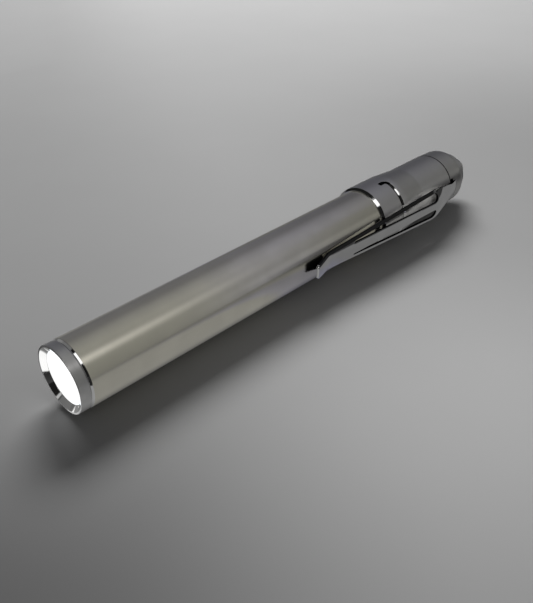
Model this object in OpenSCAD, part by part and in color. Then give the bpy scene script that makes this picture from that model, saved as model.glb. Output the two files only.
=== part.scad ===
// Penlight for two AAA cells in a row: a steel barrel with a lit head at the front, and a screw-on tail cap
// that carries a push-button switch and a slotted pocket clip.
// Every turned piece is drawn as a profile of radius against distance from the front rim, revolved about the
// barrel's axis, and then laid down: the lens looks along -X, the clip stands out along -Y and +Z is up.

/* [Barrel] */
// Outside diameter of the barrel tube
barrel_d = 14.5; // [13.8:0.1:18]
// Wall of the barrel tube
barrel_wall = 0.85; // [0.7:0.05:1.1]
// Length of the polished chamfer on the barrel's front edge
front_chamfer = 0.6; // [0.3:0.05:1.2]
// Length of the threaded spigot at the barrel's rear
thread_len = 9; // [6:0.5:11]
// Depth of the thread below the barrel's surface
thread_step = 0.3; // [0.2:0.02:0.38]

/* [Cells] */
// Wall of the sleeve between the barrel and the cells
liner_wall = 0.87; // [0.5:0.01:1.2]
// Length of a cell over its positive nub
cell_len = 44.5; // [40:0.5:50]
// Diameter of the positive nub
nub_d = 3.8; // [3:0.1:4.4]
// Height of the positive nub
nub_h = 1; // [0.8:0.1:1.5]

/* [Head] */
// Length of the bezel ring that shows
bezel_len = 2.2; // [1.8:0.1:5]
// Step from the barrel's surface down to the bezel ring
bezel_step = 0.1; // [0.05:0.05:0.3]
// Width of the flat front rim
rim_w = 0.4; // [0.3:0.05:0.7]
// Depth of the polished bevel inside the rim
bevel_depth = 0.9; // [0.6:0.1:1.4]
// Thickness of the lens
lens_t = 1.2; // [0.8:0.1:2]
// Thickness of the gasket behind the lens
gasket_t = 0.4; // [0.3:0.05:0.8]
// Depth of the reflector bowl
bowl_depth = 6.5; // [5:0.25:10]
// Width of the square base of the light emitter
led_w = 3.4; // [2.6:0.1:4]
// Diameter of the clear dome on the emitter
led_dome_d = 2.6; // [1.8:0.1:2.6]
// Length of the heat sink cup behind the emitter's board
holder_len = 7; // [6:0.25:12]
// Height of the positive contact post
post_h = 1.7; // [1.4:0.1:2]

/* [Tail cap] */
// Height of the collar above the barrel's surface
collar_step = 0.75; // [0.65:0.05:1.2]
// Length of the collar
collar_len = 10; // [9:0.5:14]
// Chamfer of the collar's front edge
collar_chamfer = 0.6; // [0.3:0.05:0.7]
// Length of the slope from the collar down to the neck
slope_len = 7.3; // [5:0.1:10]
// Height of the neck above the barrel's surface
neck_step = 0.15; // [0.05:0.05:0.4]
// Length of the neck
neck_len = 12.3; // [10:0.1:16]
// Wall of the neck
neck_wall = 1.05; // [0.8:0.05:1.3]
// Width of the accent groove
groove_w = 1.1; // [0.5:0.1:1.2]
// Depth of the accent groove
groove_depth = 0.45; // [0.2:0.05:0.5]
// Distance of the accent groove from the cap's mouth
groove_at = 8.1; // [5:0.1:8.5]
// Length of the forward hook at each end of the accent groove
groove_hook = 2.1; // [1.6:0.1:3]

/* [End cap] */
// Length of the end cap
end_len = 9.4; // [8.6:0.2:12]
// Length of the end cap's gently tapered side
side_len = 5.5; // [4.6:0.1:6]
// How much the radius falls along that side
side_taper = 0.2; // [0.1:0.05:0.6]
// Width of the end face round the button
end_face_w = 2; // [1.4:0.1:2.6]

/* [Button] */
// Diameter of the button
button_d = 6.3; // [5.6:0.1:7.4]
// How far the button stands out of the end cap
button_out = 5.3; // [3:0.1:8]
// Travel of the button
button_travel = 1.6; // [0.8:0.1:2]

/* [Clip] */
// Sheet thickness of the clip
clip_t = 0.55; // [0.4:0.05:0.7]
// Length from the clip's tip to its root
clip_len = 58.3; // [50:0.5:70]
// Greatest width of the clip
clip_w = 9; // [7.6:0.1:11]
// Width of the clip at its nose
nose_w = 4.4; // [3.6:0.1:6]
// Width of the clip at its tip
tip_w = 3.4; // [2.8:0.1:4.4]
// Width of the clip at its root
root_w = 4.2; // [3.4:0.1:5]
// Length of the kicked-out tip
tip_len = 5.5; // [3:0.1:8]
// Rise of the tip from the nose
tip_rise = 1.65; // [0.8:0.05:3]
// Rise of the clip's shoulder above the neck
shoulder_rise = 2.5; // [2.2:0.05:4]
// Distance from the shoulder back to the root
shoulder_back = 11.3; // [9:0.1:16]
// Width of the bar between the two slots
bar_w = 2.1; // [1.6:0.1:2.8]
// Width of the rail outside each slot
rail_w = 0.8; // [0.6:0.05:1.2]
// Length of the two slots
slot_len = 32; // [16:0.5:36]

/* [Fits] */
// Gap between pieces that are pressed or glued together
press_gap = 0.03; // [0.02:0.005:0.05]
// Gap round pieces that slide or run on each other
run_gap = 0.08; // [0.05:0.01:0.1]
// Gap between the cap's thread and the barrel's thread
thread_gap = 0.12; // [0.1:0.01:0.15]
// Gap that is left at the seam between the barrel and the cap
seam_gap = 0.1; // [0.06:0.01:0.2]
// Gap round the clip's root and under its nose
clip_gap = 0.18; // [0.15:0.01:0.3]
// Gap between the cells and their liner
cell_gap = 0.2; // [0.1:0.05:0.25]

/* [Hidden] */
$fn = 96;
// Steps in a rounded corner
arc_steps = 6;
// Reach of every cut past the surface it opens
overrun = 1;
// Small rounding of outer edges
edge_round = 0.15;

// Barrel radii
barrel_r = barrel_d / 2;
bore_r = barrel_r - barrel_wall;
thread_r = barrel_r - thread_step;
chamfer_drop = 0.5;

// Head radii, from the bore inwards
bezel_r = barrel_r - bezel_step;
spigot_r = bore_r - press_gap;
spigot_wall = 0.45;
seat_r = spigot_r - spigot_wall;
lens_r = seat_r - press_gap;
lens_lip = 0.3;
window_r = lens_r - lens_lip;
bowl_rim = 0.4;
bowl_r = lens_r - bowl_rim;
bowl_wall = 0.55;
bowl_flange = 1;
bowl_steps = 10;
led_hole_r = led_w / sqrt(2) + run_gap;
led_base_t = 0.6;
led_board_t = 1;
lead_d = 1.2;
lead_at = 3.4;
holder_face = 1.6;
holder_lip = 0.9;
holder_ledge = 0.6;
driver_r = bore_r - press_gap - holder_lip;
driver_t = 1;
driver_depth = 3;
post_r = 1.5;
post_foot_r = 2.4;
post_foot_t = 0.4;
guard_gap = 0.3;

// Places along the axis, from the front rim back
window_land = 0.3;
lens_s = bevel_depth + window_land;
gasket_s = lens_s + lens_t;
bowl_s = gasket_s + gasket_t;
bowl_end = bowl_s + bowl_depth;
holder_s = bowl_end + led_board_t;
holder_end = holder_s + holder_len;
driver_s = holder_end - driver_depth;
driver_end = driver_s + driver_t;
cells_s = driver_end + post_h;
cells_end = cells_s + 2 * cell_len;
cell_r = bore_r - run_gap - liner_wall - cell_gap;
cell_round = 0.4;

// Tail cap, set by where the cells end
spring_len = 5.5;
board_t = 1;
seat_t = 3.5;
cap_len = collar_len + slope_len + neck_len;
board_s = cells_end + spring_len;
board_end = board_s + board_t;
cap_end = board_end + seat_t;
cap_s = cap_end - cap_len;
collar_r = barrel_r + collar_step;
neck_r = barrel_r + neck_step;
mouth_r = thread_r + thread_gap;
mouth_extra = 0.6;
barrel_end = cap_s + thread_len;
mouth_end = barrel_end + mouth_extra;
cap_bore_r = neck_r - neck_wall;
slope_round = 5;
seal_d = 0.5;
seal_at = 1.4;
seal_r = thread_r + run_gap + seal_d / 2;
seal_room = seal_d / 2 + run_gap;
groove_s = cap_s + groove_at;
groove_bend = 1.1;
ring_t = 1.6;
ring_w = 1.3;
notch_w = 1.2;

// End cap and button
end_wall = 1.45;
stub_len = 3.4;
stub_r = neck_r - end_wall;
stub_end = cap_end + stub_len;
end_s = cap_end + seam_gap;
end_end = cap_end + end_len;
end_round = 2.4;
button_r = button_d / 2;
hole_r = button_r + run_gap;
lip_t = 1.4;
lip_s = end_end - lip_t;
flange_w = 0.6;
flange_t = 0.8;
flange_r = button_r + flange_w;
flange_end = lip_s - run_gap;
flange_s = flange_end - flange_t;
button_end = end_end + button_out;
dome_share = 0.94;
button_seal_d = 0.7;
button_seal_r = button_r + run_gap + button_seal_d / 2;
button_seal_room = button_seal_d / 2 + run_gap;

// Switch, which fills the room between its board and the pressed button
switch_r = 4.3;
switch_gap = 0.15;
switch_end = flange_s - button_travel - switch_gap;
cover_t = 1;
cover_s = switch_end - cover_t;
floor_t = 1.2;
switch_bore_r = 2.7;
floor_end = board_end + floor_t;
pin_r = 0.35;
pin_at = 2.05;
pin_h = 0.6;
pin_end = floor_end + pin_h;
contact_s = pin_end + button_travel + switch_gap;
contact_t = 0.35;
contact_hole_r = 1.5;
rotor_s = contact_s + contact_t;
plunger_r = switch_bore_r - run_gap;
plunger_t = 1.4;
plunger_s = cover_s - run_gap - plunger_t;
stem_r = 1.8;
socket_depth = 1.2;
rotor_bore_share = 0.6;
rotor_seat = rotor_s + (plunger_s - rotor_s) * rotor_bore_share;
cavity_r = max(switch_r, flange_r) + switch_gap;

// Springs: wire, coil radii at both ends and number of coils
coil_rings = 8;
coil_sides = 6;
battery_wire = 0.6;
battery_room = 1.15;
battery_taper = 1.1;
battery_base_r = cap_bore_r - ring_w - battery_room - battery_wire / 2;
battery_top_r = battery_base_r - battery_taper;
battery_coils = 4;
return_wire = 0.3;
return_r = 1.1;
return_coils = 5;

// Clip: the outer face of its strip, as radius and place, from the tip to the root
root_in = 2.8;
root_s = cap_end + root_in;
root_r = neck_r - clip_gap;
nose_r = barrel_r + clip_gap + clip_t;
tip_s = root_s - clip_len;
nose_s = tip_s + tip_len;
shoulder_s = root_s - shoulder_back;
nose_round = 3;
shoulder_round = 14;
clip_line = [
    [nose_r + tip_rise, tip_s, 0],
    [nose_r, nose_s, nose_round],
    [neck_r + shoulder_rise, shoulder_s, shoulder_round],
    [root_r, root_s, 0]
];
clip_path = rounded_line(clip_line);
clip_reach = max([for (p = clip_path) p[0]]);
outline_round = 12;
slot_back = 1;
slot_s = shoulder_s - slot_back - slot_len;
slot_end = shoulder_s - slot_back;
slot_round_share = 0.45;
slot_tip_share = 0.12;
relief_d = 1.5;

// The part lies on its collar, with the origin under the middle of its box
axis_y = (clip_reach - collar_r) / 2;
axis_z = collar_r;

// Outlines with rounded corners: each point is [across, along, corner radius]
function unit(v) = v / norm(v);
function flat(p) = [p[0], p[1]];
function corner(before, at, after) =
    at[2] == 0
    ? [flat(at)]
    : let (
        u = unit(flat(before) - flat(at)),
        v = unit(flat(after) - flat(at)),
        half = acos(u * v) / 2,
        centre = flat(at) + unit(u + v) * at[2] / sin(half),
        from = flat(at) + u * at[2] / tan(half) - centre,
        to = flat(at) + v * at[2] / tan(half) - centre,
        start = atan2(from[1], from[0]),
        sweep = atan2(from[0] * to[1] - from[1] * to[0], from * to)
    )
    [for (i = [0 : arc_steps])
        let (angle = start + sweep * i / arc_steps)
        centre + at[2] * [cos(angle), sin(angle)]];
function rounded(points) =
    let (n = len(points))
    [for (i = [0 : n - 1]) each corner(points[(i + n - 1) % n], points[i], points[(i + 1) % n])];
function rounded_line(points) =
    let (last = len(points) - 1)
    [for (i = [0 : last])
        each (i == 0 || i == last
            ? [flat(points[i])]
            : corner(points[i - 1], points[i], points[i + 1]))];

// A line moved sideways, to the right of its direction of travel
function beside(line, distance) =
    let (last = len(line) - 1)
    [for (i = [0 : last])
        let (way = unit(line[min(i + 1, last)] - line[max(i - 1, 0)]))
        line[i] + distance * [way[1], -way[0]]];

module lay() {
    translate([-button_end / 2, axis_y, axis_z]) rotate([0, 90, 0]) children();
}

module turned(points) {
    rotate_extrude() polygon(rounded(points));
}

module disc(r, from, to) {
    translate([0, 0, from]) cylinder(r = r, h = to - from);
}

module tube(inner, outer, from, to) {
    rotate_extrude() translate([inner, from]) square([outer - inner, to - from]);
}

module hoop(r, at, thickness) {
    rotate_extrude() translate([r, at]) circle(d = thickness);
}

// A pair of round holes or pins on either side of the axis
module pair(r, at, from, to) {
    for (side = [-1, 1]) translate([side * at, 0, 0]) disc(r, from, to);
}

// Coil springs: an open helix of round wire, narrowing from one end to the other
function coil_points(r0, r1, s0, s1, coils) =
    let (n = coils * coil_rings)
    [for (i = [0 : n])
        let (turn = 360 * i / coil_rings, r = r0 + (r1 - r0) * i / n)
        [r * cos(turn), r * sin(turn), s0 + (s1 - s0) * i / n]];
function coil_gap(line, wire) =
    min([for (i = [0 : len(line) - 1])
        for (j = [i + coil_rings / 2 : 1 : len(line) - 1]) norm(line[i] - line[j])]) - wire;
module coil(line, wire) {
    last = len(line) - 1;
    rings = [for (i = [0 : last])
        let (
            way = unit(line[min(i + 1, last)] - line[max(i - 1, 0)]),
            out = unit([line[i][0], line[i][1], 0]),
            up = unit(cross(way, out)),
            side = cross(up, way)
        )
        for (k = [0 : coil_sides - 1])
            let (turn = 360 * k / coil_sides)
            line[i] + wire / 2 * (cos(turn) * side + sin(turn) * up)];
    walls = [for (i = [0 : last - 1]) for (k = [0 : coil_sides - 1])
        let (
            a = i * coil_sides + k,
            b = i * coil_sides + (k + 1) % coil_sides
        )
        each [[a, b, b + coil_sides], [a, b + coil_sides, a + coil_sides]]];
    start_face = [for (k = [1 : coil_sides - 2]) [0, k + 1, k]];
    end_at = last * coil_sides;
    end_face = [for (k = [1 : coil_sides - 2]) [end_at, end_at + k, end_at + k + 1]];
    polyhedron(points = rings, faces = concat(walls, start_face, end_face));
}
battery_line = coil_points(
    battery_base_r, battery_top_r,
    board_s - battery_wire / 2, cells_end + switch_gap + battery_wire / 2, battery_coils
);
return_line = coil_points(
    return_r, return_r,
    floor_end + return_wire / 2, rotor_seat - return_wire / 2, return_coils
);
echo(battery_spring_gap = coil_gap(battery_line, battery_wire));
echo(switch_spring_gap = coil_gap(return_line, return_wire));

// Front ring: flat rim, polished bevel, and a spigot that clamps the optics against the heat sink
module bezel() {
    color("dimgray") lay() turned([
        [bezel_r - rim_w, 0, 0],
        [bezel_r, 0, edge_round],
        [bezel_r, bezel_len, edge_round],
        [spigot_r, bezel_len, 0],
        [spigot_r, holder_s - switch_gap, 0],
        [seat_r, holder_s - switch_gap, 0],
        [seat_r, lens_s, 0],
        [window_r, lens_s, 0],
        [window_r, bevel_depth, 0]
    ]);
}

module lens() {
    color("white") lay() disc(lens_r, lens_s, gasket_s);
}

module lens_gasket() {
    color("black") lay() tube(window_r, lens_r, gasket_s, bowl_s);
}

// Parabolic bowl, as the radius at a distance from the front rim
function bowl_at(s) =
    sqrt(pow(led_hole_r, 2) + (pow(bowl_r, 2) - pow(led_hole_r, 2)) * (bowl_end - s) / bowl_depth);
module reflector() {
    flange_end = bowl_s + bowl_flange;
    inside = [for (i = [0 : bowl_steps])
        let (s = bowl_s + bowl_depth * i / bowl_steps) [bowl_at(s), s]];
    outside = [for (i = [bowl_steps : -1 : 0])
        let (s = flange_end + (bowl_depth - bowl_flange) * i / bowl_steps) [bowl_at(s) + bowl_wall, s]];
    color("whitesmoke") lay() rotate_extrude()
        polygon(concat(inside, outside, [[lens_r, flange_end], [lens_r, bowl_s]]));
}

module led_emitter() {
    base_s = bowl_end - led_base_t;
    color("lightyellow") lay() {
        translate([-led_w / 2, -led_w / 2, base_s]) cube([led_w, led_w, led_base_t]);
        intersection() {
            translate([0, 0, base_s]) sphere(d = led_dome_d);
            disc(led_dome_d, base_s - led_dome_d, base_s + led_base_t / 2);
        }
    }
}

module led_board() {
    color("ivory") lay() difference() {
        disc(lens_r, bowl_end, holder_s);
        pair(lead_d / 2, lead_at, bowl_end - overrun, holder_s + overrun);
    }
}

// Heat sink cup: takes the emitter's board in front and the driver board in its rear recess
module led_holder() {
    holder_r = bore_r - press_gap;
    recess_r = driver_r + press_gap;
    color("silver") lay() difference() {
        turned([
            [0, holder_s, 0],
            [holder_r, holder_s, edge_round],
            [holder_r, holder_end, 0],
            [recess_r, holder_end, 0],
            [recess_r, driver_s, 0],
            [driver_r - holder_ledge, driver_s, 0],
            [driver_r - holder_ledge, holder_s + holder_face, 0],
            [0, holder_s + holder_face, 0]
        ]);
        pair(lead_d / 2, lead_at, holder_s - overrun, holder_s + holder_face + overrun);
    }
}

module driver_board() {
    color("darkgreen") lay() disc(driver_r, driver_s, driver_end);
}

module contact_post() {
    color("goldenrod") lay() {
        disc(post_foot_r, driver_end, driver_end + post_foot_t);
        disc(post_r, driver_end, cells_s);
    }
}

module contact_guard() {
    color("black") lay() tube(post_foot_r + guard_gap, driver_r, driver_end, holder_end);
}

module barrel() {
    shoulder = cap_s - seam_gap;
    color("darkgray") lay() turned([
        [bore_r, bezel_len, 0],
        [barrel_r - chamfer_drop, bezel_len, 0],
        [barrel_r, bezel_len + front_chamfer, 0],
        [barrel_r, shoulder, 0],
        [thread_r, shoulder, 0],
        [thread_r, barrel_end, edge_round],
        [bore_r, barrel_end, 0]
    ]);
}

module cell_liner() {
    color("dimgray") lay()
        tube(cell_r + cell_gap, bore_r - run_gap, holder_end + run_gap, barrel_end - run_gap);
}

// One cell, positive nub to the front
module cell(from) {
    body_s = from + nub_h;
    lay() turned([
        [0, from, 0],
        [nub_d / 2, from, edge_round],
        [nub_d / 2, body_s, 0],
        [cell_r, body_s, cell_round],
        [cell_r, from + cell_len, cell_round],
        [0, from + cell_len, 0]
    ]);
}

module front_cell() {
    color("darkslategray") cell(cells_s);
}

module rear_cell() {
    color("darkslategray") cell(cells_s + cell_len);
}

module tail_seal() {
    color("black") lay() hoop(seal_r, cap_s + seal_at, seal_d);
}

// Accent groove: half a ring on the clip's side, with a short forward hook at each end
module accent_groove() {
    floor_r = collar_r - groove_depth;
    outside_r = collar_r + overrun;
    ring_y = groove_w + groove_bend;
    intersection() {
        tube(floor_r, outside_r, groove_s - groove_hook - overrun, groove_s + groove_w + overrun);
        union() {
            translate([-outside_r, -outside_r - ring_y, groove_s - groove_w / 2])
                cube([2 * outside_r, outside_r, groove_w]);
            translate([-outside_r, 0, 0]) rotate([90, 0, 90]) linear_extrude(2 * outside_r) hook(ring_y);
        }
    }
}

// Forward hook of the groove: a quarter bend and a straight leg with a round end
module hook(ring_y) {
    leg_y = groove_bend - ring_y;
    bend_s = groove_s - groove_bend;
    leg_end = groove_s - groove_hook;
    intersection() {
        translate([-ring_y, bend_s]) difference() {
            circle(groove_bend + groove_w / 2);
            circle(groove_bend - groove_w / 2);
        }
        translate([-ring_y, bend_s]) square(groove_bend + groove_w);
    }
    translate([leg_y - groove_w / 2, leg_end]) square([groove_w, bend_s - leg_end]);
    translate([leg_y, leg_end]) circle(d = groove_w);
}

// Room for the clip's root, open to the outside, with a round relief at each front corner
module clip_pocket() {
    way = unit([root_r - neck_r - shoulder_rise, root_s - shoulder_s]);
    under = [-way[1], way[0]] * (clip_t + clip_gap);
    start = [neck_r + shoulder_rise, shoulder_s] + under;
    end = [root_r, root_s] + way * clip_gap + under;
    outside_r = neck_r + shoulder_rise + overrun;
    half_w = root_w / 2 + clip_gap;
    intersection() {
        rotate_extrude() polygon([start, end, [outside_r, end[1]], [outside_r, shoulder_s]]);
        rotate([90, 0, 0]) linear_extrude(outside_r) {
            translate([-half_w, shoulder_s]) square([2 * half_w, end[1] - shoulder_s]);
            for (side = [-1, 1]) translate([side * half_w, cap_end + relief_d / 2]) circle(d = relief_d);
        }
    }
}

// Screw-on cap: collar, slope and neck outside; thread mouth, cell room and switch seat inside
module tail_cap() {
    rear_bore_r = switch_r + switch_gap;
    color("gray") lay() difference() {
        turned([
            [mouth_r, cap_s, 0],
            [collar_r - collar_chamfer, cap_s, 0],
            [collar_r, cap_s + collar_chamfer, edge_round],
            [collar_r, cap_s + collar_len, slope_round],
            [neck_r, cap_end - neck_len, slope_round],
            [neck_r, cap_end, edge_round],
            [stub_r, cap_end, 0],
            [stub_r, stub_end, 0],
            [rear_bore_r, stub_end, 0],
            [rear_bore_r, board_end, 0],
            [cap_bore_r, board_end, 0],
            [cap_bore_r, mouth_end, 0],
            [mouth_r, mouth_end, 0]
        ]);
        tube(
            mouth_r - overrun, seal_r + seal_room,
            cap_s + seal_at - seal_room, cap_s + seal_at + seal_room
        );
        accent_groove();
        clip_pocket();
    }
}

// Ring that holds the switch against its seat, with two notches for a key
module retaining_ring() {
    ring_r = cap_bore_r - press_gap;
    ring_s = board_s - ring_t;
    color("goldenrod") lay() difference() {
        tube(ring_r - ring_w, ring_r, ring_s, board_s);
        translate([-ring_r, -notch_w / 2, ring_s - ring_t / 2]) cube([2 * ring_r, notch_w, ring_t]);
    }
}

module battery_spring() {
    color("lightgray") lay() coil(battery_line, battery_wire);
}

module switch_board() {
    color("darkgreen") lay() disc(cap_bore_r - press_gap, board_s, board_end);
}

module switch_housing() {
    color("black") lay() difference() {
        turned([
            [0, board_end, 0],
            [switch_r, board_end, 0],
            [switch_r, cover_s, 0],
            [switch_bore_r, cover_s, 0],
            [switch_bore_r, floor_end, 0],
            [0, floor_end, 0]
        ]);
        pair(pin_r + press_gap, pin_at, board_end - overrun, floor_end + overrun);
    }
}

module switch_pins() {
    color("goldenrod") lay() pair(pin_r, pin_at, board_end, pin_end);
}

module switch_contact() {
    color("orange") lay() tube(contact_hole_r, plunger_r, contact_s, rotor_s);
}

module switch_spring() {
    color("lightgray") lay() coil(return_line, return_wire);
}

module switch_rotor() {
    color("white") lay() turned([
        [contact_hole_r, rotor_s, 0],
        [plunger_r, rotor_s, 0],
        [plunger_r, plunger_s, 0],
        [0, plunger_s, 0],
        [0, rotor_seat, 0],
        [contact_hole_r, rotor_seat, 0]
    ]);
}

module switch_plunger() {
    color("ivory") lay() {
        disc(plunger_r, plunger_s, plunger_s + plunger_t);
        disc(stem_r, plunger_s, flange_s + socket_depth);
    }
}

module switch_cover() {
    color("black") lay() tube(stem_r + run_gap, switch_r, cover_s, switch_end);
}

// Tapered cover over the switch, with the hole that guides the button
module end_cap() {
    side_r = neck_r - side_taper;
    color("gray") lay() difference() {
        turned([
            [stub_r + press_gap, end_s, 0],
            [neck_r, end_s, edge_round],
            [side_r, cap_end + side_len, end_round],
            [hole_r + end_face_w, end_end, edge_round],
            [hole_r, end_end, 0],
            [hole_r, lip_s, 0],
            [cavity_r, lip_s, 0],
            [cavity_r, stub_end + seam_gap, 0],
            [stub_r + press_gap, stub_end + seam_gap, 0]
        ]);
        tube(
            hole_r - overrun, button_seal_r + button_seal_room,
            lip_s + lip_t / 2 - button_seal_room, lip_s + lip_t / 2 + button_seal_room
        );
        clip_pocket();
    }
}

module button() {
    color("gainsboro") lay() difference() {
        turned([
            [0, flange_s, 0],
            [flange_r, flange_s, 0],
            [flange_r, flange_end, 0],
            [button_r, flange_end, 0],
            [button_r, button_end, button_r * dome_share],
            [0, button_end, 0]
        ]);
        disc(stem_r + press_gap, flange_s - overrun, flange_s + socket_depth);
    }
}

module button_seal() {
    color("black") lay() hoop(button_seal_r, lip_s + lip_t / 2, button_seal_d);
}

// Flat outline of the clip, across and along: a leaf that is widest at the shoulder
module clip_outline() {
    polygon(rounded([
        [-tip_w / 2, tip_s, clip_t],
        [tip_w / 2, tip_s, clip_t],
        [nose_w / 2, nose_s, nose_round],
        [clip_w / 2, shoulder_s, outline_round],
        [root_w / 2, cap_end, nose_round],
        [root_w / 2, root_s, 0],
        [-root_w / 2, root_s, 0],
        [-root_w / 2, cap_end, nose_round],
        [-clip_w / 2, shoulder_s, outline_round],
        [-nose_w / 2, nose_s, nose_round]
    ]));
}

// One slot: round at the shoulder, tapering to a point beside the rail
module clip_slot() {
    edge_slope = (clip_w - nose_w) / 2 / (shoulder_s - nose_s);
    rear_out = clip_w / 2 - rail_w - edge_slope * slot_back;
    front_out = rear_out - edge_slope * slot_len;
    rear_round = (rear_out - bar_w / 2) * slot_round_share;
    tip_round = rail_w * slot_tip_share;
    polygon(rounded([
        [front_out - rail_w / 2, slot_s, tip_round],
        [front_out, slot_s, tip_round],
        [rear_out, slot_end, rear_round],
        [bar_w / 2, slot_end, rear_round]
    ]));
}

// Spring clip: a bent strip revolved about the barrel's axis and trimmed to its slotted outline
module pocket_clip() {
    strip = concat(clip_path, [for (i = [len(clip_path) - 1 : -1 : 0]) beside(clip_path, -clip_t)[i]]);
    color("lightsteelblue") lay() intersection() {
        rotate_extrude() polygon(strip);
        rotate([90, 0, 0]) linear_extrude(clip_reach + overrun) difference() {
            clip_outline();
            clip_slot();
            mirror([1, 0]) clip_slot();
        }
    }
}

bezel();
lens();
lens_gasket();
reflector();
led_emitter();
led_board();
led_holder();
driver_board();
contact_post();
contact_guard();
barrel();
cell_liner();
front_cell();
rear_cell();
tail_seal();
tail_cap();
retaining_ring();
battery_spring();
switch_board();
switch_housing();
switch_pins();
switch_contact();
switch_spring();
switch_rotor();
switch_plunger();
switch_cover();
end_cap();
button();
button_seal();
pocket_clip();
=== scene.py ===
# %% [markdown]
# # A steel penlight on a studio table
#
# The CAD part is a penlight: a satin steel tube with a lit head at one end, and at the other a
# screw-on cap with a push button and a spring clip. It comes in as a fixed frame. This lesson gives
# each piece that shows a finer mesh in the same place, gives every piece a finish, and then sets
# the table, the light and the camera.

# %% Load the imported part
import math

import bmesh
import bpy
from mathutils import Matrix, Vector
from mathutils.geometry import delaunay_2d_cdt


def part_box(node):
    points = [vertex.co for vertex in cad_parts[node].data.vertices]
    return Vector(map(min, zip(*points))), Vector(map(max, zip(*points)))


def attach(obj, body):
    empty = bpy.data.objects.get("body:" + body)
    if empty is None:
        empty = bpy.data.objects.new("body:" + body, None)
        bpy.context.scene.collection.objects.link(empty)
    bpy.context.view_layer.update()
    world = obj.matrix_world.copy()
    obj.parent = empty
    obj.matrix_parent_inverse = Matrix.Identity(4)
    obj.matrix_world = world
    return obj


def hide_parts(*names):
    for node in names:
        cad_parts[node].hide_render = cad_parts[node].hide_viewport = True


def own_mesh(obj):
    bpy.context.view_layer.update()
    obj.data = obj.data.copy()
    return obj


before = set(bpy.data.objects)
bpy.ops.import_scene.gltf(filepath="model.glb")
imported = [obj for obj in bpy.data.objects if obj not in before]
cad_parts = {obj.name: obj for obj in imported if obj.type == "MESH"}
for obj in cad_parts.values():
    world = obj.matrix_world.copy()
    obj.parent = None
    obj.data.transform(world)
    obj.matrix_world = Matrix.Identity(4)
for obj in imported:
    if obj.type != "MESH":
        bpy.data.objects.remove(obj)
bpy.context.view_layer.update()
scene = bpy.context.scene

# %% [markdown]
# ## One way to say where things are
#
# Nearly everything on a penlight is turned on a lathe, so a place is easiest to give as the lathe
# hand would: how far behind the front rim, how far from the axis, and at which turn round it. All
# lengths in this script are millimetres in that sense, and `place` turns them into the frame's
# metres. The axis and the rim are read from the frame, so a changed part still fits.

# %% Places on the turned body
MM = 0.001
barrel_low, barrel_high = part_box("barrel")
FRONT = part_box("bezel")[0].x
AXIS_Y = (barrel_low.y + barrel_high.y) / 2
AXIS_Z = (barrel_low.z + barrel_high.z) / 2


def place(s, r, turn):
    """Point s behind the rim, r off the axis; turn 0 is the clip's side, a quarter turn is up."""
    return Vector((
        FRONT + s * MM,
        AXIS_Y - r * MM * math.cos(turn),
        AXIS_Z + r * MM * math.sin(turn),
    ))


def span(node):
    """Where a turned node starts and ends behind the rim, and its largest radius."""
    low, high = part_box(node)
    return (low.x - FRONT) / MM, (high.x - FRONT) / MM, (high.z - low.z) / 2 / MM


BARREL_S, BARREL_END, BARREL_R = span("barrel")
CAP_S, STUB_END, COLLAR_R = span("tail_cap")
END_S, END_END, NECK_R = span("end_cap")
BUTTON_S, BUTTON_END, FLANGE_R = span("button")
LENS_S, LENS_END, LENS_R = span("lens")
print(f"barrel radius {BARREL_R:.2f} mm, length over the button {BUTTON_END:.1f} mm")

# %% [markdown]
# ## The camera
#
# The photograph looks down on the light from its front left, from close by, so the head is much
# larger in the frame than the tail. A camera can be aimed at a target by a constraint, but a plain
# place and direction are enough here.

# %% Camera
CAMERA_AHEAD = 44.486 * MM
CAMERA_ASIDE = 98.39 * MM
CAMERA_HIGH = 97.117 * MM
CAMERA_LOOKS = Vector((0.5765, 0.5786, -0.5770))
LENS_LENGTH = 43.68

eye = bpy.data.cameras.new("camera")
eye.lens = LENS_LENGTH
eye.clip_start = 1 * MM
camera = bpy.data.objects.new("camera", eye)
camera.location = (FRONT - CAMERA_AHEAD, AXIS_Y - CAMERA_ASIDE, CAMERA_HIGH)
camera.rotation_euler = CAMERA_LOOKS.to_track_quat("-Z", "Y").to_euler()
scene.collection.objects.link(camera)
scene.camera = camera
scene.view_settings.view_transform = "Standard"
print("camera at", [round(v, 4) for v in camera.location])

# %% [markdown]
# ## Shader sums in Python
#
# A finish such as brushed steel is a small sum: some noise, stretched along one way, times a
# strength, plus a base value. Wiring that by hand takes many lines. `Wire` wraps one socket, and
# its operators add the Math nodes, so a finish reads as the sum that it is. `Tree.node` makes every
# other node.

# %% Wires and trees
class Wire:
    """One output socket of a node tree, which can stand in a Python sum."""

    def __init__(self, tree, socket):
        self.tree = tree
        self.socket = socket

    def sum_of(self, operation, *values):
        return self.tree.node("ShaderNodeMath", {"operation": operation}, dict(enumerate(values)))

    def __add__(self, other):
        return self.sum_of("ADD", self, other)

    def __sub__(self, other):
        return self.sum_of("SUBTRACT", self, other)

    def __rsub__(self, other):
        return self.sum_of("SUBTRACT", other, self)

    def __mul__(self, other):
        return self.sum_of("MULTIPLY", self, other)

    def __truediv__(self, other):
        return self.sum_of("DIVIDE", self, other)

    def __rtruediv__(self, other):
        return self.sum_of("DIVIDE", other, self)

    def __pow__(self, other):
        return self.sum_of("POWER", self, other)

    def __abs__(self):
        return self.sum_of("ABSOLUTE", self)

    __radd__ = __add__
    __rmul__ = __mul__


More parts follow.
